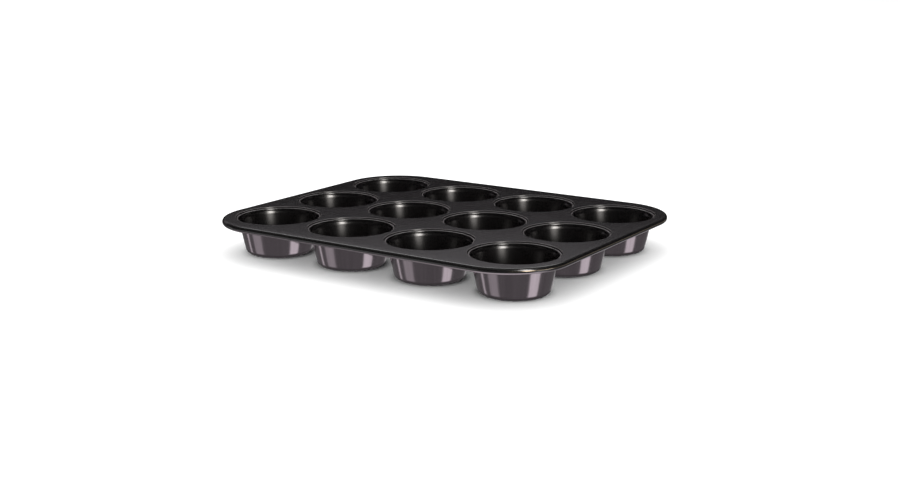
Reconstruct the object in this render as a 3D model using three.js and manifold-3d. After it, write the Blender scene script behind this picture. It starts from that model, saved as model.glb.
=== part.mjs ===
// A twelve-cup muffin tin: a punched and joggled steel deck with a wired, curled rim,
// and twelve drawn cups that hang by their flanges in the deck's ledges.
// Millimetres, +Z up, front towards -Y. The origin is the middle of the footprint,
// on the plane the cups stand on.
import * as THREE from "three";
import {
  mergeGeometries,
  mergeVertices,
} from "three/addons/utils/BufferGeometryUtils.js";
import Module from "manifold-3d";

// ---- overall ----
const LENGTH = 334; // along X, over the curled rim
const WIDTH = 275; // along Y, over the curled rim
const HEIGHT = 32; // top of the deck above the cup bases
const CORNER_R = 53; // plan radius of the rim's corners, at its outermost line
const SHEET = 0.5; // coated sheet steel, deck and cups
const COLUMNS = 4;
const ROW_NAMES = ["front", "middle", "back"];
const PITCH_X = 80;
const PITCH_Y = 84;
const ROUND = 24; // facets round a hole and round a cup
const MERGE_TOLERANCE = 1e-4; // corners closer than this are joined

// ---- rim ----
const CURL_R = 2.6; // outer radius of the curl
const CURL_START_DEG = 90; // where the deck's flat top runs into the curl
const CURL_END_DEG = -205; // where the curled edge tucks in under the deck
const CURL_STEP_DEG = 45;
const CORNER_STEPS = 8;
const WIRE_R = 1.8;
const WIRE_STEP_DEG = 45;
const WIRE_GAP = 2; // between the wire's ends, in the middle of the back side
const WIRE_Z = HEIGHT - CURL_R; // centre line of the curl and the wire
const WIRE_HALF_X = LENGTH / 2 - CURL_R;
const WIRE_HALF_Y = WIDTH / 2 - CURL_R;
const WIRE_CORNER_R = CORNER_R - CURL_R;

// ---- joggled ledge round each hole ----
const JOGGLE_R = 37.0; // where the deck turns down
const LEDGE_OUT_R = 36.65; // where the ledge begins
const LEDGE_IN_R = 35.75; // edge of the hole
const LEDGE_Z = HEIGHT - 1.6; // top of the ledge
const JOGGLE_UNDER = 0.45; // how much wider the joggle's top bend is on the underside
const LEDGE_UNDER = 0.35; // the same at its bottom bend

// ---- cup ----
const WALL_FOOT_R = 28.5; // the outer wall's line carried down to the base plane
const WALL_SLOPE = 0.21875; // radius gained per mm of height, a draft of 12.3 degrees
const FILLET_R = 5; // outer radius between base and wall
const BEAD_R = 35.95; // the rolled bead that locks the cup under the ledge
const BEAD_Z = 28.9;
const BEAD_HALF = 0.8; // half the bead's height
const BEAD_INSIDE_LIFT = 0.05; // the bead's inner face sits this much higher
const NECK_R = 35.3;
const NECK_FLARE = 0.1; // radius the neck gains up to the flange
const FLANGE_R = 36.35;
const SEAT_Z = LEDGE_Z + 0.05; // underside of the flange, just clear of the ledge
const MOUTH_R = NECK_R + 0.35; // where the flange's top turns down into the cup
const MOUTH_DROP = 0.25; // foot of that turn, below the flange's underside

const wasm = await Module();
wasm.setup();

const columnX = (i) => (i - (COLUMNS - 1) / 2) * PITCH_X;
const rowY = (j) => (j - (ROW_NAMES.length - 1) / 2) * PITCH_Y;
const radians = (degrees) => (degrees * Math.PI) / 180;
const polar = (radius, angle) => [
  radius * Math.cos(angle),
  radius * Math.sin(angle),
];

// ---- surfaces ----
function indexedGeometry(positions, index) {
  const geometry = new THREE.BufferGeometry();
  geometry.setAttribute(
    "position",
    new THREE.Float32BufferAttribute(positions, 3),
  );
  geometry.setIndex(index);
  return geometry;
}

// A closed surface, positions only, passed through Manifold and shaded flat.
function flatShadedSolid(surface) {
  const merged = mergeVertices(surface, MERGE_TOLERANCE);
  const body = new wasm.Manifold(
    new wasm.Mesh({
      numProp: 3,
      vertProperties: new Float32Array(merged.attributes.position.array),
      triVerts: new Uint32Array(merged.index.array),
    }),
  );
  const mesh = body.getMesh();
  const flat = indexedGeometry(
    mesh.vertProperties,
    new THREE.BufferAttribute(mesh.triVerts, 1),
  ).toNonIndexed();
  flat.computeVertexNormals();
  return flat;
}

// Skins that join each closed ring of corners to the next. They face along
// (step to the next ring) x (direction of the ring).
function skins(rings) {
  const index = [];
  const count = rings[0].length;
  for (let j = 0; j + 1 < rings.length; j++)
    for (let i = 0; i < count; i++) {
      const here = j * count + i;
      const next = j * count + ((i + 1) % count);
      index.push(here, here + count, next + count);
      index.push(here, next + count, next);
    }
  return indexedGeometry(rings.flat(2), index);
}

// ---- rim path, shared by the curl and the wire ----

// Stations round the corners of the wire's centre line, anticlockwise from above,
// from the left end of the back side to its right end.
function rimStations() {
  const centreX = WIRE_HALF_X - WIRE_CORNER_R;
  const centreY = WIRE_HALF_Y - WIRE_CORNER_R;
  // Corner centre x and y, and the angle its arc starts at.
  const corners = [
    [-centreX, centreY, 90],
    [-centreX, -centreY, 180],
    [centreX, -centreY, 270],
    [centreX, centreY, 0],
  ];
  const stations = [];
  for (const [x, y, start] of corners)
    for (let i = 0; i <= CORNER_STEPS; i++) {
      const outward = polar(1, radians(start + (90 * i) / CORNER_STEPS));
      stations.push({
        x: x + WIRE_CORNER_R * outward[0],
        y: y + WIRE_CORNER_R * outward[1],
        outward,
      });
    }
  return stations;
}

// A section point [distance outward, height] placed at a station.
const placed = ([distance, z], { x, y, outward }) => [
  x + distance * outward[0],
  y + distance * outward[1],
  z,
];

// A point of a rim section, round the wire's centre.
function rimPoint(radius, degrees) {
  const [distance, rise] = polar(radius, radians(degrees));
  return [distance, WIRE_Z + rise];
}

// ---- deck ----

// From the deck's top edge round the outside of the curl and back along its inside.
function curlSection() {
  const angles = [];
  for (let a = CURL_START_DEG; a > CURL_END_DEG; a -= CURL_STEP_DEG)
    angles.push(a);
  angles.push(CURL_END_DEG);
  const outer = angles.map((a) => rimPoint(CURL_R, a));
  const inner = angles.map((a) => rimPoint(CURL_R - SHEET, a)).reverse();
  return [...outer, ...inner];
}

// [radius, z] from the top of the deck down the joggle, over the ledge's edge
// and back under the deck.
const LEDGE_SECTION = [
  [JOGGLE_R, HEIGHT],
  [LEDGE_OUT_R, LEDGE_Z],
  [LEDGE_IN_R, LEDGE_Z],
  [LEDGE_IN_R, LEDGE_Z - SHEET],
  [LEDGE_OUT_R + LEDGE_UNDER, LEDGE_Z - SHEET],
  [JOGGLE_R + JOGGLE_UNDER, HEIGHT - SHEET],
];

// A ring of corners round one hole, clockwise from above.
function holeRing(centreX, centreY, radius, z) {
  const ring = [];
  for (let i = 0; i < ROUND; i++) {
    const [x, y] = polar(radius, (-2 * Math.PI * i) / ROUND);
    ring.push([centreX + x, centreY + y, z]);
  }
  return ring;
}

// One flat side of the deck sheet: the outline less the twelve holes.
function flatSide(outline, holes, z, faceDown) {
  const inPlan = (ring) => ring.map(([x, y]) => new THREE.Vector2(x, y));
  const contour = inPlan(outline);
  const inner = holes.map(inPlan);
  const corners = [...contour, ...inner.flat()];
  const index = [];
  for (const [a, b, c] of THREE.ShapeUtils.triangulateShape(contour, inner))
    index.push(a, faceDown ? c : b, faceDown ? b : c);
  return indexedGeometry(
    corners.flatMap(({ x, y }) => [x, y, z]),
    index,
  );
}

function deckGeometry() {
  const path = rimStations();
  const curlRings = curlSection().map((point) =>
    path.map((station) => placed(point, station)),
  );
  const pieces = [skins(curlRings)];
  const topHoles = [];
  const bottomHoles = [];
  for (let i = 0; i < COLUMNS; i++)
    for (let j = 0; j < ROW_NAMES.length; j++) {
      const rings = LEDGE_SECTION.map(([radius, z]) =>
        holeRing(columnX(i), rowY(j), radius, z),
      );
      pieces.push(skins(rings));
      topHoles.push(rings[0]);
      bottomHoles.push(rings.at(-1));
    }
  pieces.push(flatSide(curlRings[0], topHoles, HEIGHT, false));
  pieces.push(flatSide(curlRings.at(-1), bottomHoles, HEIGHT - SHEET, true));
  return flatShadedSolid(mergeGeometries(pieces));
}

// ---- rim wire ----

// A fan of triangles that closes one end of the wire.
function wireCap(ring, flipped) {
  const index = [];
  for (let i = 1; i < ring.length - 1; i++)
    index.push(0, flipped ? i + 1 : i, flipped ? i : i + 1);
  return indexedGeometry(ring.flat(), index);
}

function wireGeometry() {
  const section = [];
  for (let a = 0; a < 360; a += WIRE_STEP_DEG)
    section.push(rimPoint(WIRE_R, a));
  const back = { y: WIRE_HALF_Y, outward: [0, 1] };
  const path = [
    { ...back, x: -WIRE_GAP / 2 },
    ...rimStations(),
    { ...back, x: WIRE_GAP / 2 },
  ];
  const rings = path.map((station) =>
    section.map((point) => placed(point, station)),
  );
  return flatShadedSolid(
    mergeGeometries([
      skins(rings),
      wireCap(rings[0], false),
      wireCap(rings.at(-1), true),
    ]),
  );
}

// ---- cup ----

// [radius, z] from the middle of the base up the outside, over the flange
// and down the inside.
function cupProfile() {
  const slant = Math.hypot(1, WALL_SLOPE);
  const filletX = WALL_FOOT_R + WALL_SLOPE * FILLET_R - FILLET_R * slant;
  const wallAngle = -Math.atan(WALL_SLOPE);
  const outerWall = (z) => [WALL_FOOT_R + WALL_SLOPE * z, z];
  const innerWall = (z) => [outerWall(z)[0] - SHEET * slant, z];
  // A point on the fillet: share 0 is at the base, share 1 at the wall.
  const fillet = (radius, share) => {
    const angle = -Math.PI / 2 + share * (wallAngle + Math.PI / 2);
    const [x, z] = polar(radius, angle);
    return [filletX + x, FILLET_R + z];
  };
  const insideFilletR = FILLET_R - SHEET;
  const insideBeadZ = BEAD_Z + BEAD_INSIDE_LIFT;
  return [
    [0, 0],
    fillet(FILLET_R, 0),
    fillet(FILLET_R, 0.5),
    fillet(FILLET_R, 1),
    outerWall(BEAD_Z - BEAD_HALF),
    [BEAD_R, BEAD_Z],
    [NECK_R, BEAD_Z + BEAD_HALF],
    [NECK_R + NECK_FLARE, SEAT_Z],
    [FLANGE_R, SEAT_Z],
    [FLANGE_R, SEAT_Z + SHEET],
    [MOUTH_R, SEAT_Z + SHEET],
    [NECK_R - SHEET, SEAT_Z - MOUTH_DROP],
    [BEAD_R - SHEET, insideBeadZ],
    innerWall(insideBeadZ - BEAD_HALF),
    fillet(insideFilletR, 1),
    fillet(insideFilletR, 0.5),
    fillet(insideFilletR, 0),
    [0, SHEET],
  ];
}

function cupGeometry() {
  const points = cupProfile().map(([x, z]) => new THREE.Vector2(x, z));
  // The lathe turns about Y, so its axis is tipped up to +Z.
  const surface = new THREE.LatheGeometry(points, ROUND).rotateX(Math.PI / 2);
  // With normals and uv gone, the corners along the lathe's seam can merge.
  surface.deleteAttribute("normal");
  surface.deleteAttribute("uv");
  return flatShadedSolid(surface);
}

// ---- materials ----
const deckCoat = new THREE.MeshStandardMaterial({
  color: 0x2b282c,
  roughness: 0.38,
  metalness: 0.25,
});
const cupCoat = new THREE.MeshStandardMaterial({
  color: 0x473f46,
  roughness: 0.3,
  metalness: 0.6,
});
const wireSteel = new THREE.MeshStandardMaterial({
  color: 0x9a9a9c,
  roughness: 0.4,
  metalness: 1,
});

// ---- assembly ----
function named(name, geometry, material) {
  const mesh = new THREE.Mesh(geometry, material);
  mesh.name = name;
  return mesh;
}

const tin = new THREE.Group();
tin.add(named("deck", deckGeometry(), deckCoat));
tin.add(named("rim_wire", wireGeometry(), wireSteel));

const cupShape = cupGeometry();
ROW_NAMES.forEach((rowName, j) => {
  const row = new THREE.Group();
  row.position.y = rowY(j);
  for (let i = 0; i < COLUMNS; i++) {
    const cup = named(`cup_${rowName}_${i + 1}`, cupShape, cupCoat);
    cup.position.x = columnX(i);
    row.add(cup);
  }
  tin.add(row);
});

export default tin;
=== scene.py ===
"""A twelve-cup baking tin: a sheet deck with a curled rim over a round wire, and twelve drawn cups.

The tin stands on the floor, z = 0, centred on the origin: four columns along x, three rows along y.
Front is -y, right is +x. Shapes are worked out in mm and built in metres.
"""

import math

import bmesh
import bpy
import numpy as np
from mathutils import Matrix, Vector


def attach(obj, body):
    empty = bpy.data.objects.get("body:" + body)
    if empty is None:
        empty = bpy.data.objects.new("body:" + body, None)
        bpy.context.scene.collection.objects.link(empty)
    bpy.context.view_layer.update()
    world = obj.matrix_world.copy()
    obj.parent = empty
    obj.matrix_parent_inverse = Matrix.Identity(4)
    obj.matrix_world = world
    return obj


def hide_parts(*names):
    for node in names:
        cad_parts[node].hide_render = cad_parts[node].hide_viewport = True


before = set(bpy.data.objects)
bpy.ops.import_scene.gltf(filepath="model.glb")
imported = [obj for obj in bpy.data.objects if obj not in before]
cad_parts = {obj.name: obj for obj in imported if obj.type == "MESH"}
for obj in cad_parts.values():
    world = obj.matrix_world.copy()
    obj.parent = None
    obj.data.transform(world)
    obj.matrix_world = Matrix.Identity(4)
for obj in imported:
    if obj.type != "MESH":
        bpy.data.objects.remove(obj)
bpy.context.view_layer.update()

MM = 0.001
TAU = 2 * math.pi

# ---- The tin, in mm ----
HALF_X, HALF_Y, TOP, CORNER = 167.0, 137.5, 32.0, 53.0  # outside of the rim
SHEET = 0.5  # thickness of deck and cups
PITCH_X, PITCH_Y = 80.0, 84.0
COLUMNS, ROWS = 4, 3
ROW_NAMES = ("front", "middle", "back")

# Angles round the curl are in degrees: 0 points outward, 90 up, and the sheet turns from 90 to CURL_END.
CURL_R, CURL_END = 2.6, -205.0
SPRAY_LOW = -21.0  # where the black coat ends
BRONZE_LINE_ANGLE = 10.0  # middle of the thin bronze line along the curl's right-hand edge
AXIS_Z = TOP - CURL_R  # centre of the curl and of the wire
WIRE_R, WIRE_GAP = 1.8, 2.0

# The curl leaves the flat deck along a rounded rectangle. BEND_X, BEND_Y are its corners' centres.
LINE_X, LINE_Y, LINE_R = HALF_X - CURL_R, HALF_Y - CURL_R, CORNER - CURL_R
BEND_X, BEND_Y = LINE_X - LINE_R, LINE_Y - LINE_R

# Each hole is sunk in a ledge: the deck steps down at JOGGLE_R and is cut at HOLE_R.
LEDGE_DEPTH, HOLE_R, JOGGLE_R = 1.6, 35.75, 37.5
JOGGLE_MARGIN = 0.25  # extra ring of the mesh just outside the step
BEND_STEPS = 8  # mesh steps round the step's upper bend
CUT_ROUND = 0.06  # rounding of the cut edge
RAYS = 144  # mesh steps round each hole

FOOT_R, SLOPE, FILLET = 28.5, 0.21875, 5.0  # cup: foot radius, wall flare, radius of the foot's bend


def centre(i, j):
    """Axis of the cup in column i and row j."""
    return np.array([(i - (COLUMNS - 1) / 2) * PITCH_X, (j - (ROWS - 1) / 2) * PITCH_Y])


# ======================================================================================
# Meshes
# ======================================================================================
class Surface:
    """Points in mm, faces, and each face's material slot."""

    def __init__(self):
        self.points, self.faces, self.slots = [], [], []

    def ring(self, points):
        start = len(self.points)
        self.points.extend(points)
        return list(range(start, len(self.points)))

    def band(self, a, b, slot):
        """Faces between two closed rings. The slot is one number, or one for each face."""
        count = len(a)
        for k in range(count):
            after = (k + 1) % count
            self.faces.append((a[k], a[after], b[after], b[k]))
        self.slots.extend(np.broadcast_to(slot, count))

    def cap(self, ring):
        self.faces.append(tuple(ring))
        self.slots.append(0)


def level(flat_points, z):
    return [(x, y, z) for x, y in flat_points]


def arc(centre_x, centre_z, r, start, end, steps):
    """steps + 1 points on a circle from angle start to end, in degrees."""
    angles = np.radians(np.linspace(start, end, steps + 1))
    return [(centre_x + r * math.cos(a), centre_z + r * math.sin(a)) for a in angles]


def merge_points(surface):
    """Weld points to 0.001 mm and drop the faces that collapse. The points come back in metres."""
    points = np.asarray(surface.points, float)
    key = np.round(points * 1e3 + 0.217).astype(np.int64)  # the shift avoids ties in rounding
    _, first, merged = np.unique(key, axis=0, return_index=True, return_inverse=True)
    merged = merged.ravel()
    faces, slots = [], []
    for face, slot in zip(surface.faces, surface.slots):
        corners = []
        for k in face:
            corner = int(merged[k])
            if not corners or corners[-1] != corner:
                corners.append(corner)
        if len(corners) > 1 and corners[0] == corners[-1]:
            corners.pop()
        if len(corners) >= 3:
            faces.append(corners)
            slots.append(slot)
    return points[first] * MM, faces, slots


def link_object(name, mesh):
    obj = bpy.data.objects.new(name, mesh)
    bpy.context.scene.collection.objects.link(obj)
    return obj


def make_object(name, surface, materials, place=(0, 0), sharp=38):
    """A closed, smooth, outward-facing piece. Edges over `sharp` degrees stay hard."""
    points, faces, slots = merge_points(surface)
    mesh = bpy.data.meshes.new(name)
    mesh.from_pydata(points.tolist(), [], faces)
    mesh.polygons.foreach_set("material_index", np.array(slots, dtype=np.int32))
    for material in materials:
        mesh.materials.append(material)
    bm = bmesh.new()
    bm.from_mesh(mesh)
    bmesh.ops.recalc_face_normals(bm, faces=bm.faces)
    if bm.calc_volume(signed=True) < 0:
        bmesh.ops.reverse_faces(bm, faces=bm.faces)
    if any(len(e.link_faces) != 2 for e in bm.edges):
        raise RuntimeError(f"{name} is not closed")
    for face in bm.faces:
        face.smooth = True
    bm.to_mesh(mesh)
    bm.free()
    mesh.set_sharp_from_angle(angle=math.radians(sharp))
    mesh.update()
    obj = link_object(name, mesh)
    obj.location = (place[0] * MM, place[1] * MM, 0)
    return obj


# ---- Deck ----
def outline_distance(x, y):
    """Signed distance to the line where the curl leaves the flat deck, negative inside."""
    past_x = np.abs(x) - BEND_X
    past_y = np.abs(y) - BEND_Y
    return (
        np.hypot(np.maximum(past_x, 0), np.maximum(past_y, 0))
        + np.minimum(np.maximum(past_x, past_y), 0)
        - LINE_R
    )


def outline_normal(x, y):
    past_x = abs(x) - BEND_X
    past_y = abs(y) - BEND_Y
    if past_x > 1e-9 and past_y > 1e-9:
        normal = np.array([past_x, past_y]) / math.hypot(past_x, past_y)
    else:
        normal = np.array([1.0, 0.0]) if past_x - past_y > 0 else np.array([0.0, 1.0])
    return normal * np.array([math.copysign(1, x), math.copysign(1, y)])


def reach_outline(start, direction):
    """Distance from start to the outline, found by halving."""
    low, high = 0.0, 400.0
    for _ in range(60):
        middle = (low + high) / 2
        x, y = start + direction * middle
        if outline_distance(x, y) < 0:
            low = middle
        else:
            high = middle
    return (low + high) / 2


def cell_boundary(i, j):
    """For each ray out of a cup's axis: where its share of the deck ends, whether that is
    the outline, and the ray's direction."""
    middle = centre(i, j)
    angles = np.arange(RAYS) * TAU / RAYS
    rays = np.stack([np.cos(angles), np.sin(angles)], 1)
    far = 1e9
    beside = {1: i < COLUMNS - 1, -1: i > 0}  # is there a neighbour on the +x and -x side
    along = {1: j < ROWS - 1, -1: j > 0}  # and on the +y and -y side
    to_side = np.full(RAYS, far)
    for axis, neighbours, half in ((0, beside, PITCH_X / 2), (1, along, PITCH_Y / 2)):
        for sign in (1, -1):
            if neighbours[sign]:
                side = sign * half
                with np.errstate(divide="ignore"):
                    reach = np.where(rays[:, axis] * side > 1e-9, side / rays[:, axis], far)
                to_side = np.minimum(to_side, reach)
    to_line = np.array([reach_outline(middle, ray) for ray in rays])
    points = middle + rays * np.minimum(to_side, to_line)[:, None]
    on_line = to_line < to_side

    # the ray nearest each corner of the cell is moved onto the corner
    for sign_x in (1, -1):
        for sign_y in (1, -1):
            if not (beside[sign_x] or along[sign_y]):
                continue
            corner = middle + np.array([sign_x * PITCH_X / 2, sign_y * PITCH_Y / 2])
            if not along[sign_y]:
                corner[1] = sign_y * LINE_Y
            if not beside[sign_x]:
                corner[0] = sign_x * LINE_X
            angle = math.atan2(corner[1] - middle[1], corner[0] - middle[0]) % TAU
            k = int(round(angle / TAU * RAYS)) % RAYS
            points[k] = corner
            on_line[k] = not (beside[sign_x] and along[sign_y])
    return points, on_line, rays


def joggle_top():
    """Top of the deck down the step to the hole's edge: [r, z, normal r, normal z]."""
    upper_r, lower_r, turn = 0.34, 0.35, 84.0
    sine, cosine = math.sin(math.radians(turn)), math.cos(math.radians(turn))
    straight = (LEDGE_DEPTH - (upper_r + lower_r) * (1 - cosine)) / sine
    points = []
    for t in np.radians(np.linspace(0, turn, BEND_STEPS + 1)):
        r = JOGGLE_R - upper_r * math.sin(t)
        z = TOP - upper_r * (1 - math.cos(t))
        points.append((r, z, -math.sin(t), math.cos(t)))
    r = points[-1][0] - straight * cosine
    z = points[-1][1] - straight * sine
    bend_r, bend_z = r - lower_r * sine, z + lower_r * cosine
    for t in np.radians(np.linspace(turn, 0, 6)):
        r = bend_r + lower_r * math.sin(t)
        z = bend_z - lower_r * math.cos(t)
        points.append((r, z, -math.sin(t), math.cos(t)))
    for past_hole in (0.3, CUT_ROUND):
        points.append((HOLE_R + past_hole, TOP - LEDGE_DEPTH, 0, 1))
    return points


DECK_TOP, DECK_UNDER, DECK_BRONZE_LINE, DECK_WORN_AND_HIGHLIT = range(4)  # the deck's material slots


def add_cell(deck, middle, border, rays):
    """One cup's share of the deck: in over the top, round the cut edge, out underneath."""
    step = joggle_top()
    margin = middle + rays * (JOGGLE_R + JOGGLE_MARGIN)

    def flat(share, z):
        return deck.ring(level(margin * (1 - share) + border * share, z))

    def circle(r, z):
        return deck.ring(level(middle + rays * r, z))

    rings = [flat(1.0, TOP), flat(0.55, TOP), deck.ring(level(margin, TOP))]
    bend = len(rings)
    rings += [circle(r, z) for r, z, _, _ in step]
    cut = len(rings)
    rings.append(circle(HOLE_R, TOP - LEDGE_DEPTH - CUT_ROUND))
    rings.append(circle(HOLE_R, TOP - LEDGE_DEPTH - SHEET + CUT_ROUND))
    for r, z, normal_r, normal_z in reversed(step):
        rings.append(circle(r - normal_r * SHEET, z - normal_z * SHEET))
    rings.append(deck.ring(level(margin, TOP - SHEET)))
    rings += [flat(0.55, TOP - SHEET), flat(1.0, TOP - SHEET)]
    for k, (a, b) in enumerate(zip(rings, rings[1:])):
        # the step's upper bend takes the lighter edge coat: partly wear, partly a painted highlight
        if bend <= k < bend + BEND_STEPS:
            slot = DECK_WORN_AND_HIGHLIT
        else:
            slot = DECK_TOP if k < cut else DECK_UNDER
        deck.band(a, b, slot)


def curl_slot(angle, normal_x):
    """Coat on the curl's outer face, with a thin bronze line along the right-hand (+x) edge."""
    bronze_half = 5.0 if normal_x > 0.8 else 3.0
    if normal_x > 0.5 and abs(angle - BRONZE_LINE_ANGLE) < bronze_half:
        return DECK_BRONZE_LINE
    return DECK_TOP if angle > SPRAY_LOW else DECK_UNDER


def add_curl(deck, line_points):
    """The rim's curl, swept along every point where the flat ends."""
    points = np.array(sorted(line_points, key=lambda p: math.atan2(p[1] / LINE_Y, p[0] / LINE_X)))
    normals = np.array([outline_normal(*p) for p in points])
    outer_steps, inner_steps = 59, 34
    section = arc(0, AXIS_Z, CURL_R, 90, CURL_END, outer_steps)
    middle_r = CURL_R - SHEET / 2
    for t in (-60, 0, 60):  # rounded lip at the sheet's end
        turn = math.radians(t)
        r = middle_r - SHEET / 2 * math.sin(turn)
        angle = math.radians(CURL_END) - SHEET / 2 * math.cos(turn) / middle_r
        section.append((r * math.cos(angle), AXIS_Z + r * math.sin(angle)))
    section += arc(0, AXIS_Z, CURL_R - SHEET, CURL_END, 90, inner_steps)

    rings = [deck.ring(level(points + normals * out, z)) for out, z in section]
    angles = list(np.linspace(90, CURL_END, outer_steps + 1))
    for k, (a, b) in enumerate(zip(rings, rings[1:])):
        slots = DECK_UNDER
        if k < outer_steps:
            angle = (angles[k] + angles[k + 1]) / 2
            slots = [curl_slot(angle, normal[0]) for normal in normals]
        deck.band(a, b, slots)


def build_deck(materials):
    deck = Surface()
    line_points = {}
    for i in range(COLUMNS):
        for j in range(ROWS):
            border, on_line, rays = cell_boundary(i, j)
            for point in border[on_line]:
                line_points[(round(point[0], 3), round(point[1], 3))] = point
            add_cell(deck, centre(i, j), border, rays)
    add_curl(deck, line_points.values())
    return make_object("deck_sheet", deck, materials)


# ---- Cups ----
OUTSIDE, INSIDE, WORN_AND_HIGHLIT = range(3)
CUP_SLOTS = {OUTSIDE: 1, INSIDE: 0, WORN_AND_HIGHLIT: 2}


def cup_section():
    """Closed profile of a cup from the base's middle up the outside and down the inside:
    [r, z, zone]. The zone at the edge of the mouth gets a lighter coat: partly wear, partly a painted
    highlight."""
    slant = math.hypot(1, SLOPE)
    wall_angle = math.degrees(-math.atan(SLOPE))
    inset = SHEET * slant  # the sheet's thickness measured level through the wall
    fillet_r = FOOT_R + SLOPE * FILLET - FILLET * slant  # radius of the foot bend's centre
    base_radii = (0, 6, 12, 18, 22.5, fillet_r - 0.4)
    wall_heights = (8, 12, 16, 20, 24, 26.4)

    # above the wall: a smooth step in to the neck with a bead on it, then a shoulder out to the lip
    step_low, bead_z, step_high = 26.8, 28.85, 29.75
    neck_r, bead_r, bead_width = 35.3, 35.85, 0.42
    bead_wall_share, bead_neck_share = 0.42, 0.58  # of the plain line taken off the bead's radius
    shoulder_z, shoulder_r = 29.8, 0.65
    lip_r, lip_round = 36.35, 0.16
    lip_z = shoulder_z + shoulder_r  # underside of the lip
    step_heights = [float(z) for z in np.linspace(step_low, step_high, 15)]

    def wall(z):
        return FOOT_R + SLOPE * z

    def step(z, wall_inset, neck_inset):
        t = min(max((z - step_low) / (step_high - step_low), 0), 1)
        share = t * t * (3 - 2 * t)
        return (wall(z) - wall_inset) * (1 - share) + (neck_r - neck_inset) * share

    def bead(z):
        rise = bead_r - wall(bead_z) * bead_wall_share - neck_r * bead_neck_share
        return math.exp(-(((z - bead_z) / bead_width) ** 2)) * rise

    points = []

    def add(zone, pairs):
        points.extend((r, z, zone) for r, z in pairs)

    add(OUTSIDE, [(r, 0) for r in base_radii])
    add(OUTSIDE, arc(fillet_r, FILLET, FILLET, -90, wall_angle, 12))
    add(OUTSIDE, [(wall(z), z) for z in wall_heights])
    add(OUTSIDE, [(step(z, 0.0, 0.0) + bead(z), z) for z in step_heights])
    add(OUTSIDE, arc(neck_r + shoulder_r, shoulder_z, shoulder_r, 180, 90, 6))
    add(OUTSIDE, [(lip_r - 0.18, lip_z)])
    add(INSIDE, arc(lip_r - lip_round, lip_z + lip_round, lip_round, -70, 0, 3))
    # the lip's top and the shoulder's upper part take the lighter edge coat: partly wear, partly a
    # painted highlight
    add(WORN_AND_HIGHLIT, arc(lip_r - lip_round, lip_z + SHEET - lip_round, lip_round, 0, 90, 4))
    shoulder = arc(neck_r + shoulder_r, shoulder_z, shoulder_r + SHEET, 90, 180, 16)
    add(WORN_AND_HIGHLIT, shoulder[:6])
    add(INSIDE, shoulder[6:])
    # the bead hardly shows in the smooth coated inside, so it is left out
    for z in np.linspace(step_high, step_low, 15):
        add(INSIDE, [(step(z, inset, SHEET), float(z))])
    add(INSIDE, [(wall(z) - inset, z) for z in reversed(wall_heights)])
    add(INSIDE, arc(fillet_r, FILLET, FILLET - SHEET, wall_angle, -90, 12))
    add(INSIDE, [(r, SHEET) for r in reversed(base_radii)])
    return points


def build_cup(name, i, j, materials):
    steps = 128
    angles = np.arange(steps) * TAU / steps
    section = cup_section()
    cup = Surface()
    rings = [cup.ring([(r * math.cos(a), r * math.sin(a), z) for a in angles]) for r, z, _ in section]
    for k in range(len(section) - 1):
        zone = min(section[k][2], section[k + 1][2])
        cup.band(rings[k], rings[k + 1], CUP_SLOTS[zone])
    return make_object(name, cup, materials, place=centre(i, j), sharp=60)


# ---- Wire ----
def build_wire(material):
    """Round wire inside the curl. Its ends meet at a small gap in the middle of the back."""
    straight = np.arange(0, BEND_X, 6.0)
    path = [(-WIRE_GAP / 2, LINE_Y, 0, 1)]  # [x, y, outward x, outward y]
    path += [(-x, LINE_Y, 0, 1) for x in straight[1:]]
    corners = [  # [centre x, centre y, first angle]
        (-BEND_X, BEND_Y, 90),
        (-BEND_X, -BEND_Y, 180),
        (BEND_X, -BEND_Y, 270),
        (BEND_X, BEND_Y, 0),
    ]
    for x, y, start in corners:
        for a in np.radians(start + np.linspace(0, 90, 19)):
            out_x, out_y = math.cos(a), math.sin(a)
            path.append((x + LINE_R * out_x, y + LINE_R * out_y, out_x, out_y))
    path += [(x, LINE_Y, 0, 1) for x in straight[:0:-1]]
    path.append((WIRE_GAP / 2, LINE_Y, 0, 1))

    steps = 20
    wire = Surface()
    rings = []
    for x, y, out_x, out_y in path:
        points = []
        for k in range(steps):
            a = TAU * k / steps
            out = WIRE_R * math.cos(a)
            points.append((x + out * out_x, y + out * out_y, AXIS_Z + WIRE_R * math.sin(a)))
        rings.append(wire.ring(points))
    for a, b in zip(rings, rings[1:]):
        wire.band(a, b, 0)
    wire.cap(rings[0])
    wire.cap(rings[-1])
    return make_object("rim_wire_round", wire, [material])


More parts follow.
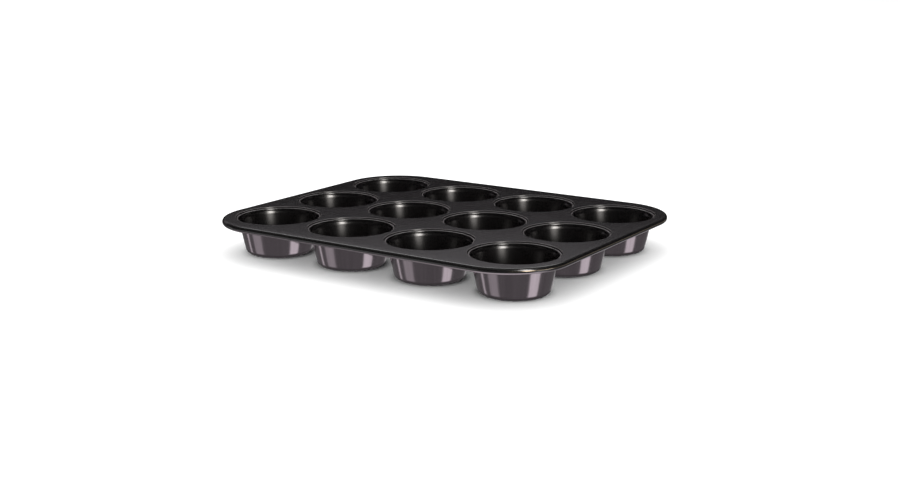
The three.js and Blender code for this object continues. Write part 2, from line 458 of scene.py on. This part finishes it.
# ======================================================================================
# Materials
# ======================================================================================
class Nodes:
    """Short-hand for building a node tree."""

    MIX_SOCKETS = {"FLOAT": (2, 3, 0), "RGBA": (6, 7, 2)}  # first input, second input, output

    def __init__(self, tree):
        self.tree = tree
        self.tree.nodes.clear()

    def add(self, kind, inputs=None, **props):
        """Inputs may be values, sockets, or nodes, which stand for their first output."""
        node = self.tree.nodes.new(kind)
        for key, value in props.items():
            setattr(node, key, value)
        for key, value in (inputs or {}).items():
            if isinstance(value, bpy.types.Node):
                value = value.outputs[0]
            if isinstance(value, bpy.types.NodeSocket):
                self.tree.links.new(value, node.inputs[key])
            else:
                node.inputs[key].default_value = value
        return node

    def math(self, operation, a, b=0.0, c=0.0):
        return self.add("ShaderNodeMath", {0: a, 1: b, 2: c}, operation=operation).outputs[0]

    def scaled(self, value, by, plus):
        return self.math("MULTIPLY_ADD", value, by, plus)

    def vector(self, operation, a, b):
        return self.add("ShaderNodeVectorMath", {0: a, 1: b}, operation=operation).outputs[0]

    def normalize(self, vector):
        return self.add("ShaderNodeVectorMath", {0: vector}, operation="NORMALIZE").outputs[0]

    def dot(self, a, b):
        node = self.add("ShaderNodeVectorMath", {0: a, 1: b}, operation="DOT_PRODUCT")
        return node.outputs["Value"]

    def ramp(self, value, start, end, before=0.0, after=1.0, smooth=True):
        return self.add(
            "ShaderNodeMapRange",
            {"Value": value, "From Min": start, "From Max": end, "To Min": before, "To Max": after},
            interpolation_type="SMOOTHSTEP" if smooth else "LINEAR",
            clamp=True,
        ).outputs[0]

    def window(self, value, start, end, soft):
        """1 between start and end, 0 outside, with edges `soft` to either side."""
        rise = self.ramp(value, start - soft, start + soft)
        fall = self.ramp(value, end - soft, end + soft, before=1.0, after=0.0)
        return self.math("MULTIPLY", rise, fall)

    def noise(self, vector, scale, detail=2.0, rough=0.5):
        inputs = {"Vector": vector, "Scale": scale, "Detail": detail, "Roughness": rough}
        return self.add("ShaderNodeTexNoise", inputs).outputs[0]

    def mix(self, factor, a, b, kind="RGBA"):
        first, second, out = self.MIX_SOCKETS[kind]
        inputs = {0: factor, first: a, second: b}
        return self.add("ShaderNodeMix", inputs, data_type=kind).outputs[out]

    def bump(self, height, strength, distance, over=None):
        """A normal bumped by distance mm, on top of another bump if one is given."""
        inputs = {"Height": height, "Strength": strength, "Distance": distance * MM}
        if over:
            inputs["Normal"] = over
        return self.add("ShaderNodeBump", inputs).outputs[0]

    def surface(self, shader):
        self.add("ShaderNodeOutputMaterial", {0: shader})

    def principled(self, **values):
        """Arguments are the shader's inputs, in lower case with underscores."""
        titles = {"ior": "IOR", "specular": "Specular IOR Level"}
        inputs = {titles.get(k, k.replace("_", " ").title()): v for k, v in values.items()}
        self.surface(self.add("ShaderNodeBsdfPrincipled", inputs))


def new_material(name):
    material = bpy.data.materials.new(name)
    material.use_nodes = True
    return material, Nodes(material.node_tree)


def black_coat(name, low, high, ior):
    """Sprayed non-stick coat. Its grain moves the colour between low and high."""
    material, n = new_material(name)
    coord = n.add("ShaderNodeTexCoord").outputs["Object"]
    peel = n.noise(coord, scale=400.0, detail=1.0)  # orange peel, about 2.5 mm
    speck = n.noise(coord, scale=3600.0, detail=2.0, rough=0.6)  # grain, about 0.3 mm
    wave = n.noise(coord, scale=24.0, detail=1.0)  # the sheet's slow waviness
    cloud = n.noise(coord, scale=70.0, detail=3.0)
    rough = n.scaled(cloud, by=0.06, plus=0.145)
    rough = n.scaled(speck, by=0.06, plus=rough)
    # the wall is smoothest at the mouth; deeper in, its reflection is also turned down, a painted shade
    # for the lamp light falling off lower in the cup
    z = n.add("ShaderNodeSeparateXYZ", {0: coord}).outputs[2]
    deep_rough = n.ramp(z, start=12.0 * MM, end=29.0 * MM, before=0.05, after=0.0, smooth=False)
    rough = n.math("ADD", rough, deep_rough)
    reflection_painted_shade = n.ramp(z, start=16.0 * MM, end=30.0 * MM, before=0.15, after=0.5, smooth=False)
    tone = n.ramp(speck, start=0.35, end=0.75)
    colour = n.mix(tone, low + (1,), high + (1,))
    height = n.scaled(speck, by=0.04, plus=peel)
    fine = n.bump(height, strength=0.5, distance=0.004)
    slow = n.bump(wave, strength=0.4, distance=0.06, over=fine)
    n.principled(
        base_color=colour, roughness=rough, ior=ior, metallic=0.0, normal=slow, specular=reflection_painted_shade
    )
    return material


def drawn_position(n, coord):
    """Texture position with the radius taken out and z squeezed, so streaks run up a wall."""
    shift = n.add("ShaderNodeObjectInfo").outputs["Random"]  # each piece gets its own streaks
    unit = n.normalize(n.vector("MULTIPLY", coord, (1, 1, 0)))
    circle = n.add(
        "ShaderNodeVectorMath", {0: unit, "Scale": 30 * MM}, operation="SCALE"
    ).outputs[0]
    up = n.vector("MULTIPLY", coord, (0, 0, 1))
    squeezed = n.vector("MULTIPLY", up, (1, 1, 0.035))
    drawn = n.vector("ADD", circle, squeezed)
    offset = n.add("ShaderNodeCombineXYZ", {0: shift, 1: shift, 2: shift}).outputs[0]
    return n.vector("ADD", drawn, offset)


def metallic_coat(name, tint):
    material, n = new_material(name)
    coord = n.add("ShaderNodeTexCoord").outputs["Object"]
    drawn = drawn_position(n, coord)
    lines = n.noise(drawn, scale=900.0, detail=3.0, rough=0.6)  # draw lines, about 1 mm apart
    broad = n.noise(drawn, scale=170.0, detail=2.0)
    flake = n.noise(coord, scale=4200.0, detail=1.0)
    rough = n.scaled(lines, by=0.05, plus=0.095)
    rough = n.scaled(flake, by=0.03, plus=rough)
    tone = n.scaled(lines, by=0.22, plus=0.0)
    tone = n.scaled(broad, by=0.25, plus=tone)
    tone = n.scaled(flake, by=0.15, plus=tone)
    tone = n.ramp(tone, start=0.2, end=0.42)
    dark, light = (tuple(c * gain for c in tint) + (1,) for gain in (0.90, 1.08))
    colour = n.mix(tone, dark, light)
    height = n.scaled(flake, by=0.4, plus=lines)
    fine = n.bump(height, strength=0.35, distance=0.004)
    slow = n.bump(broad, strength=0.4, distance=0.02, over=fine)
    n.principled(base_color=colour, roughness=rough, metallic=1.0, normal=slow)
    return material


def wire_steel():
    material, n = new_material("drawn_steel")
    coord = n.add("ShaderNodeTexCoord").outputs["Object"]
    grain = n.noise(coord, scale=2500.0, detail=2.0)
    rough = n.scaled(grain, by=0.12, plus=0.28)
    bump = n.bump(grain, strength=0.4, distance=0.005)
    n.principled(base_color=(0.58, 0.58, 0.59, 1), roughness=rough, metallic=1.0, normal=bump)
    return material


def floor_white():
    """Pale floor with a painted glow that lifts the shade under the tin. The glow is left off right at
    the cups' feet, so their contact shade stays dark.
    """
    material, n = new_material("floor_pale_painted_glow")
    position = n.add("ShaderNodeNewGeometry").outputs["Position"]
    x, y = n.add("ShaderNodeSeparateXYZ", {0: position}).outputs[:2]

    def clamp(value, low, high):
        return n.math("MINIMUM", n.math("MAXIMUM", value, low), high)

    # axis of the nearest cup
    column = n.math("FLOOR", n.math("DIVIDE", x, PITCH_X * MM))
    column = clamp(column, -COLUMNS / 2, COLUMNS / 2 - 1)
    cup_x = n.math("MULTIPLY", n.math("ADD", column, 0.5), PITCH_X * MM)
    row = n.math("ROUND", n.math("DIVIDE", y, PITCH_Y * MM))
    cup_y = n.math("MULTIPLY", clamp(row, -(ROWS - 1) / 2, (ROWS - 1) / 2), PITCH_Y * MM)

    dx, dy = n.math("SUBTRACT", x, cup_x), n.math("SUBTRACT", y, cup_y)
    squares = n.math("ADD", n.math("MULTIPLY", dx, dx), n.math("MULTIPLY", dy, dy))
    distance = n.math("SQRT", squares)
    # painted light: the floor's own glow, none within 26 mm of a cup's axis and 0.19 beyond 36 mm
    glow = n.ramp(distance, start=26.0 * MM, end=36.0 * MM, before=0.0, after=0.19)
    n.principled(
        base_color=(0.93, 0.93, 0.93, 1), roughness=0.9, specular=0.0,
        emission_color=(1, 1, 1, 1), emission_strength=glow,
    )
    return material


# ======================================================================================
# The tin
# ======================================================================================
def hand_over(obj, part):
    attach(obj, "root")
    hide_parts(part)


black = black_coat(
    "nonstick_black", low=(0.0024, 0.0019, 0.0020), high=(0.0080, 0.0064, 0.0066), ior=1.8
)
mauve = metallic_coat("metallic_mauve", tint=(0.405, 0.343, 0.381))
bronze = metallic_coat("coat_edge_bronze", tint=(0.62, 0.51, 0.38))
# lighter coat for the deck's step bends and the cups' mouth edges: partly wear, partly a painted
# highlight that draws light lines round the mouths
edge_wear_and_highlight = black_coat(
    "nonstick_edge_worn_and_highlit", low=(0.068, 0.061, 0.062), high=(0.125, 0.113, 0.114), ior=1.7
)
steel = wire_steel()

hand_over(build_deck([black, mauve, bronze, edge_wear_and_highlight]), "deck")
hand_over(build_wire(steel), "rim_wire")
for j, row in enumerate(ROW_NAMES):
    for i in range(COLUMNS):
        part = f"cup_{row}_{i + 1}"
        hand_over(build_cup(f"{part}_drawn", i, j, [black, mauve, edge_wear_and_highlight]), part)

# ======================================================================================
# Floor and camera
# ======================================================================================
CAM_PLACE = Vector((620.52, -930.11, 279.12)) * MM
CAM_YAW, CAM_PITCH = 0.58533, 0.24472  # radians: turned left of +y, tipped down
CAM_LENS = 52.184  # mm


def build_floor():
    bpy.ops.mesh.primitive_plane_add(size=8.0, location=(0, 0, 0))
    floor = bpy.context.object
    floor.name = "floor"
    floor.data.materials.append(floor_white())
    floor.visible_glossy = False


def build_camera():
    level_part = math.cos(CAM_PITCH)
    forward = Vector(
        (-math.sin(CAM_YAW) * level_part, math.cos(CAM_YAW) * level_part, -math.sin(CAM_PITCH))
    )
    camera = link_object("camera", bpy.data.cameras.new("camera"))
    camera.location = CAM_PLACE
    camera.rotation_mode = "QUATERNION"
    camera.rotation_quaternion = forward.to_track_quat("-Z", "Y")
    camera.data.sensor_width = 36
    camera.data.sensor_fit = "HORIZONTAL"
    camera.data.lens = CAM_LENS
    camera.data.clip_start, camera.data.clip_end = 0.01, 50
    bpy.context.scene.camera = camera


# ======================================================================================
# Light
# ======================================================================================
# Soft studio light. Directions are in degrees: side is counted to the right of the line from the
# tin to the camera, lift is above the horizon.
TOWARD = 33.5  # that line, counted from -y towards +x
# softboxes low round the tin, which the cups' outer walls mirror
LOW_BOXES = [  # [side from, side to, soft edge, strength]
    (46.0, 78.0, 3.0, 0.9),  # broad, right
    (-115.0, -107.0, 3.0, 0.7),  # narrow, far left
    (-88.0, -56.0, 5.0, 0.35),  # fill, left
    (150.0, 170.0, 6.0, 0.3),  # fill, behind
]


def directions(n, direction):
    """Side and lift of a unit direction."""
    a = math.radians(TOWARD)
    toward = n.dot(direction, (math.sin(a), -math.cos(a), 0))
    right = n.dot(direction, (math.cos(a), math.sin(a), 0))
    z = n.add("ShaderNodeSeparateXYZ", {0: direction}).outputs[2]
    side = n.math("MULTIPLY", n.math("ARCTAN2", right, toward), 180 / math.pi)
    return side, n.math("MULTIPLY", n.math("ARCSINE", z), 180 / math.pi)


def build_world():
    """The camera sees plain white, matt surfaces a soft white fill, and glossy ones a dim room."""
    world = bpy.data.worlds.new("studio")
    bpy.context.scene.world = world
    world.use_nodes = True
    n = Nodes(world.node_tree)
    side, lift = directions(n, n.add("ShaderNodeTexCoord").outputs["Generated"])
    wide = n.math("ABSOLUTE", side)

    # below the horizon: the low softboxes in a dim room, and the floor's bounce straight down
    low = 0.15
    for start, end, soft, strength in LOW_BOXES:
        low = n.scaled(n.window(side, start, end, soft), by=strength, plus=low)
    low = n.math("MULTIPLY", low, n.ramp(lift, start=-58.0, end=-46.0))
    low = n.math("ADD", low, n.ramp(lift, start=-62.0, end=-48.0, before=0.75, after=0.0))

    # above it: a dim ceiling, and a long panel up behind the tin
    panel = n.math(
        "MULTIPLY",
        n.window(lift, start=37.0, end=51.0, soft=5.0),
        n.ramp(wide, start=138.0, end=160.0),
    )
    ceiling = n.ramp(lift, start=20.0, end=80.0, before=0.015, after=0.16)
    high = n.scaled(panel, by=2.6, plus=ceiling)

    above = n.ramp(lift, start=-3.0, end=2.0)
    low = n.math("MULTIPLY", low, n.math("SUBTRACT", 1.0, above))
    mirrored = n.math("ADD", low, n.math("MULTIPLY", high, above))
    fill = n.ramp(lift, start=-12.0, end=45.0, before=1.05, after=1.45)
    path = n.add("ShaderNodeLightPath")
    light = n.mix(path.outputs["Is Glossy Ray"], fill, mirrored, kind="FLOAT")
    seen = n.mix(path.outputs["Is Camera Ray"], light, 1.0, kind="FLOAT")
    background = n.add("ShaderNodeBackground", {"Color": seen, "Strength": 1.0})
    n.add("ShaderNodeOutputWorld", {0: background})
    world.cycles.sampling_method = "NONE"


def add_mirror_card(name, mesh, material):
    """A card that shows in reflections and nowhere else."""
    mesh.materials.append(material)
    card = link_object(name, mesh)
    card.visible_camera = card.visible_diffuse = card.visible_shadow = False
    card.visible_transmission = card.visible_volume_scatter = False
    card.visible_glossy = True


def build_strip_lamp():
    """Tall strip softbox right of the camera, brighter towards its top, with soft edges.
    Being a real surface it is sampled as a light."""
    material, n = new_material("lamp_strip")
    position = n.add("ShaderNodeNewGeometry").outputs["Position"]
    side, lift = directions(n, n.normalize(position))
    across = n.window(side, start=24.0, end=40.0, soft=5.0)
    upward = n.ramp(lift, start=14.0, end=30.0, before=3.0, after=14.0)
    glow = n.math("MULTIPLY", across, upward)
    glow = n.math("MULTIPLY", glow, n.ramp(lift, start=48.0, end=62.0, before=1.0, after=0.0))
    glow = n.math("ADD", glow, 0.015)
    n.surface(n.add("ShaderNodeEmission", {"Color": (1.0, 0.955, 0.91, 1), "Strength": glow}))
    material.cycles.emission_sampling = "FRONT_BACK"

    distance = 6  # metres
    sides, lifts = np.linspace(18, 46, 11), np.linspace(0.3, 63, 19)
    points, faces = [], []
    for b in np.radians(lifts):
        for a in np.radians(sides + TOWARD):
            x = distance * math.cos(b) * math.sin(a)
            y = -distance * math.cos(b) * math.cos(a)
            points.append((x, y, distance * math.sin(b)))
    width = len(sides)
    for r in range(len(lifts) - 1):
        for c in range(width - 1):
            k = r * width + c
            faces.append((k, k + 1, k + 1 + width, k + width))
    mesh = bpy.data.meshes.new("lamp_strip")
    mesh.from_pydata(points, [], faces)
    add_mirror_card("lamp_strip", mesh, material)


def build_back_panel():
    """Dim upright softbox behind the tin, fading to the right. The flat deck mirrors it.
    Its sizes are in metres."""
    material, n = new_material("panel_soft")
    position = n.add("ShaderNodeNewGeometry").outputs["Position"]
    z = n.add("ShaderNodeSeparateXYZ", {0: position}).outputs[2]
    across = n.dot(position, (math.cos(CAM_YAW), math.sin(CAM_YAW), 0))
    shape = n.math(
        "MULTIPLY",
        n.window(z, start=0.23, end=0.31, soft=0.035),
        n.ramp(across, start=0.05, end=0.50, before=1.0, after=0.0),
    )
    glow = n.scaled(shape, by=0.5, plus=0.025)
    n.surface(n.add("ShaderNodeEmission", {"Color": (1, 0.94, 0.99, 1), "Strength": glow}))

    distance, half_width, height = 0.6, 0.9, 0.46
    middle = Vector((-math.sin(CAM_YAW), math.cos(CAM_YAW), 0)) * distance
    right = Vector((math.cos(CAM_YAW), math.sin(CAM_YAW), 0))
    a, b = middle - right * half_width, middle + right * half_width
    points = [(a.x, a.y, 0.0), (b.x, b.y, 0.0), (b.x, b.y, height), (a.x, a.y, height)]
    mesh = bpy.data.meshes.new("panel_back")
    mesh.from_pydata(points, [], [(0, 1, 2, 3)])
    add_mirror_card("panel_back", mesh, material)


def build_foot_cards():
    """Painted contact shade for reflections: a dark disc on the floor under each cup, fading out at its
    edge, which only glossy rays see, so the rounded foot mirrors dark. The map's U is 0 on the disc and
    1 at the faded edge."""
    material, n = new_material("card_dark")
    uv_map = n.add("ShaderNodeUVMap").outputs[0]
    u = n.add("ShaderNodeSeparateXYZ", {0: uv_map}).outputs[0]
    share = n.ramp(u, start=0.0, end=1.0, before=1.0, after=0.0)
    dark = n.add("ShaderNodeEmission", {"Color": (0.1, 0.1, 0.1, 1), "Strength": 1.0})
    clear = n.add("ShaderNodeBsdfTransparent")
    n.surface(n.add("ShaderNodeMixShader", {0: share, 1: clear, 2: dark}))

    disc_r, fade_r, z, steps = 30.0, 34.0, 0.02, 64
    bm = bmesh.new()
    uv = bm.loops.layers.uv.new("share")
    for i in range(COLUMNS):
        for j in range(ROWS):
            x, y = centre(i, j)
            disc, rim = (
                [
                    bm.verts.new(((x + r * math.cos(t)) * MM, (y + r * math.sin(t)) * MM, z * MM))
                    for t in np.arange(steps) * TAU / steps
                ]
                for r in (disc_r, fade_r)
            )
            bm.faces.new(disc)
            for k in range(steps):
                after = (k + 1) % steps
                face = bm.faces.new((disc[k], rim[k], rim[after], disc[after]))
                for corner, value in zip(face.loops, (0, 1, 1, 0)):
                    corner[uv].uv = (value, 0)
    mesh = bpy.data.meshes.new("card_feet")
    bm.to_mesh(mesh)
    bm.free()
    add_mirror_card("card_feet", mesh, material)


def set_render():
    scene = bpy.context.scene
    scene.view_settings.view_transform = "Standard"
    scene.view_settings.look = "None"
    scene.view_settings.exposure = 0.0
    scene.view_settings.gamma = 1.0
    scene.cycles.max_bounces = 8
    scene.cycles.diffuse_bounces = 4
    scene.cycles.glossy_bounces = 5
    scene.cycles.sample_clamp_indirect = 6.0
    scene.cycles.caustics_reflective = False


build_floor()
build_camera()
build_world()
build_strip_lamp()
build_back_panel()
build_foot_cards()
set_render()
